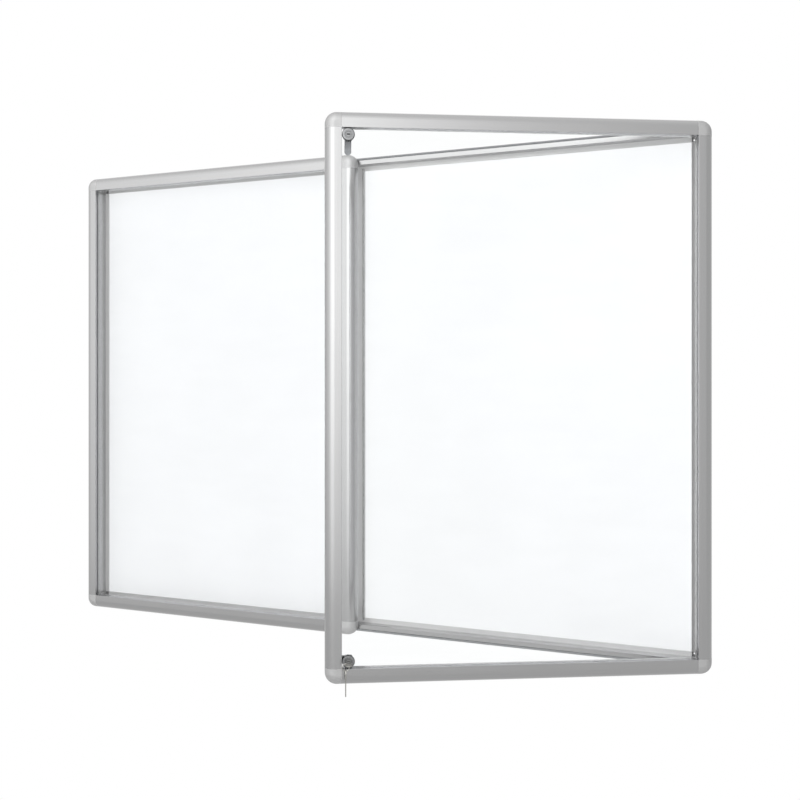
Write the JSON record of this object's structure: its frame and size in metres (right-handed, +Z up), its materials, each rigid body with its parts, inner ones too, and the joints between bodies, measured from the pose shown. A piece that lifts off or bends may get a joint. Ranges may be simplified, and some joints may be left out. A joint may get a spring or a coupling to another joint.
{
  "type": "lockable notice board",
  "caption": "Wall-hung double-door showcase: aluminium case with white magnetic panels, glazed hinged doors, cam locks and keys; right door ajar.",
  "frame": {"origin": "centre of the wall-fixing hole pattern, in the wall plane behind the board", "axes": "+X along the board to the right, +Y into the wall, +Z up; the doors open towards -Y"},
  "size_m": [1.4108, 0.3962, 1.0131],
  "materials": {
    "anodised_aluminium": "satin anodised extrusion",
    "corner_plastic": "moulded, fine texture",
    "clear_glass": "clear toughened, polished",
    "gasket_rubber": "matt",
    "seal_rubber": "matt",
    "white_enamelled_steel": "gloss enamel",
    "fibreboard": "pressed board, raw back",
    "black_nylon": "moulded",
    "white_nylon": "moulded",
    "pin_steel": "ground rod",
    "nickel_lock": "nickel-plated die casting",
    "zinc_steel": "zinc-plated pressing",
    "key_nickel": "nickel-plated brass"
  },
  "bodies": {
    "case": {"case_bottom_rail": "anodised_aluminium", "case_corner_bottom_left": "corner_plastic", "case_corner_bottom_right": "corner_plastic", "case_corner_top_left": "corner_plastic", "case_corner_top_right": "corner_plastic", "case_left_stile": "anodised_aluminium", "case_right_stile": "anodised_aluminium", "case_top_rail": "anodised_aluminium", "dust_seal": "seal_rubber", "hinge_pins": "pin_steel", "hinge_washers": "white_nylon", "left_panel_core": "fibreboard", "left_panel_face": "white_enamelled_steel", "panel_channels": "anodised_aluminium", "panel_joint_bar": "anodised_aluminium", "panel_joint_cover": "anodised_aluminium", "right_panel_core": "fibreboard", "right_panel_face": "white_enamelled_steel", "wall_fixing_bushes": "black_nylon"},
    "left_door": {"left_door_bottom_free_corner": "corner_plastic", "left_door_bottom_hinge_corner": "corner_plastic", "left_door_bottom_rail": "anodised_aluminium", "left_door_free_stile": "anodised_aluminium", "left_door_gasket": "gasket_rubber", "left_door_hinge_stile": "anodised_aluminium", "left_door_lock_nuts": "nickel_lock", "left_door_pane": "clear_glass", "left_door_top_free_corner": "corner_plastic", "left_door_top_hinge_corner": "corner_plastic", "left_door_top_rail": "anodised_aluminium", "left_top_lock_body": "nickel_lock", "left_bottom_lock_body": "nickel_lock"},
    "right_door": {"right_door_bottom_free_corner": "corner_plastic", "right_door_bottom_hinge_corner": "corner_plastic", "right_door_bottom_rail": "anodised_aluminium", "right_door_free_stile": "anodised_aluminium", "right_door_gasket": "gasket_rubber", "right_door_hinge_stile": "anodised_aluminium", "right_door_lock_nuts": "nickel_lock", "right_door_pane": "clear_glass", "right_door_top_free_corner": "corner_plastic", "right_door_top_hinge_corner": "corner_plastic", "right_door_top_rail": "anodised_aluminium", "right_top_lock_body": "nickel_lock", "right_bottom_lock_body": "nickel_lock"},
    "left_top_lock": {"left_top_lock_plug": "nickel_lock", "left_top_lock_cam": "zinc_steel", "left_top_cam_screw": "zinc_steel"},
    "left_bottom_lock": {"left_bottom_lock_plug": "nickel_lock", "left_bottom_lock_cam": "zinc_steel", "left_bottom_cam_screw": "zinc_steel"},
    "right_top_lock": {"right_top_lock_plug": "nickel_lock", "right_top_lock_cam": "zinc_steel", "right_top_cam_screw": "zinc_steel"},
    "right_bottom_lock": {"right_bottom_lock_plug": "nickel_lock", "right_bottom_lock_cam": "zinc_steel", "right_bottom_cam_screw": "zinc_steel"},
    "key": {"key_in_lock": "key_nickel"},
    "key_ring": {"key_ring": "key_nickel"},
    "spare_key": {"spare_key": "key_nickel"}
  },
  "joints": [
    {"name": "left_door_swing", "type": "hinge", "parent": "case", "child": "left_door", "pos_m": [-0.689, -0.0225, 0], "axis": [0, 0, -1], "range_deg": [0, 100]},
    {"name": "right_door_swing", "type": "hinge", "parent": "case", "child": "right_door", "pos_m": [0.689, -0.0225, 0], "axis": [0, 0, 1], "range_deg": [-29.2, 70.8]},
    {"name": "left_top_lock_turn", "type": "hinge", "parent": "left_door", "child": "left_top_lock", "pos_m": [-0.0425, -0.0535, 0.459], "axis": [0, 1, 0], "range_deg": [0, 180]},
    {"name": "right_top_lock_turn", "type": "hinge", "parent": "right_door", "child": "right_top_lock", "pos_m": [0.13978, -0.36496, 0.459], "axis": [0.4879, -0.8729, 0], "range_deg": [0, 180]},
    {"name": "left_bottom_lock_turn", "type": "hinge", "parent": "left_door", "child": "left_bottom_lock", "pos_m": [-0.0425, -0.0535, -0.459], "axis": [0, 1, 0], "range_deg": [0, 90]},
    {"name": "right_bottom_lock_turn", "type": "hinge", "parent": "right_door", "child": "right_bottom_lock", "pos_m": [0.13978, -0.36496, -0.459], "axis": [0.4879, -0.8729, 0], "range_deg": [0, 90]},
    {"name": "key_pull", "type": "slide", "parent": "right_bottom_lock", "child": "key", "axis": [0.4879, -0.8729, 0], "range_m": [0, 0.018]},
    {"name": "key_ring_hang", "type": "hinge", "parent": "key", "child": "key_ring", "pos_m": [0.14681, -0.38938, -0.459], "axis": [0.4879, -0.8729, 0], "range_deg": [-90, 0]},
    {"name": "spare_key_swing", "type": "hinge", "parent": "key_ring", "child": "spare_key", "pos_m": [0.14681, -0.38938, -0.46905], "axis": [-0.8729, -0.4879, 0], "range_deg": [-4, 70]}
  ],
  "couplings": [
    {"joint": "key_ring_hang", "follows": "right_bottom_lock_turn", "ratio": -1}
  ]
}
